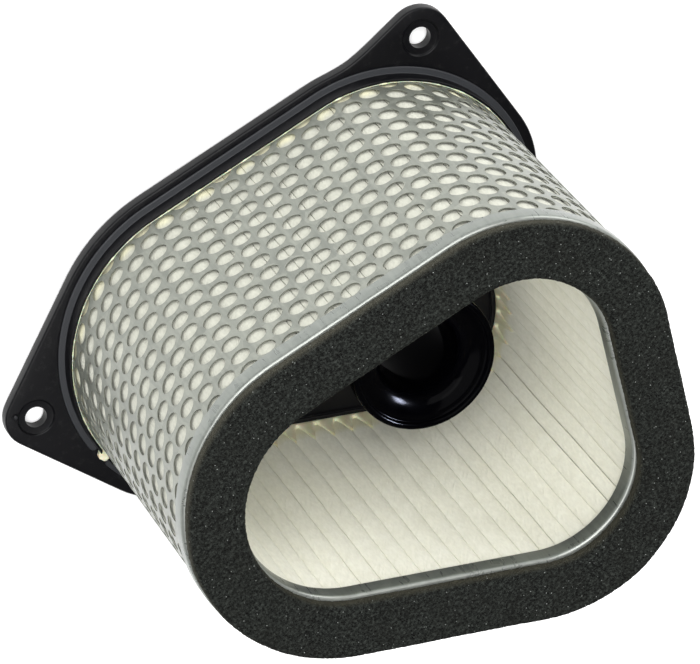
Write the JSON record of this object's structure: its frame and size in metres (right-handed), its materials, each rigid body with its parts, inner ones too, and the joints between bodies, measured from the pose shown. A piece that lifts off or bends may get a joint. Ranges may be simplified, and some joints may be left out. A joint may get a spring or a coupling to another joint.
{
  "type": "air filter",
  "caption": "Motorcycle air filter cartridge: pleated paper ring in a perforated steel band, on a moulded base plate with fixing ears and an intake funnel, with a foam seal on its end cap.",
  "frame": {"origin": "centre of the footprint, on the plane of the base gasket's lower face", "axes": "+X runs from the left shoulder ear to the right shoulder ear, +Y from the nose ear to the long side, +Z along the filter's axis from the base plate to the foam seal"},
  "size_m": [0.1792, 0.162, 0.1198],
  "materials": {
    "black_nylon": "satin moulded nylon",
    "gloss_black_plastic": "polished",
    "gasket_rubber": "matt",
    "adhesive": "cured cream adhesive",
    "filter_paper": "creped filter paper",
    "perforated_steel": "galvanised, satin",
    "galvanised_steel": "galvanised, satin",
    "foam_tape": "double-sided tape",
    "open_cell_foam": "open-cell charcoal foam"
  },
  "bodies": {
    "root": {"base_plate": "black_nylon", "intake_funnel": "gloss_black_plastic", "base_gasket": "gasket_rubber", "base_potting": "adhesive", "pleated_media": "filter_paper", "media_seam_strip": "adhesive", "outer_screen": "perforated_steel", "top_potting": "adhesive", "end_cap": "galvanised_steel", "foam_tape": "foam_tape", "foam_seal": "open_cell_foam"}
  },
  "joints": []
}
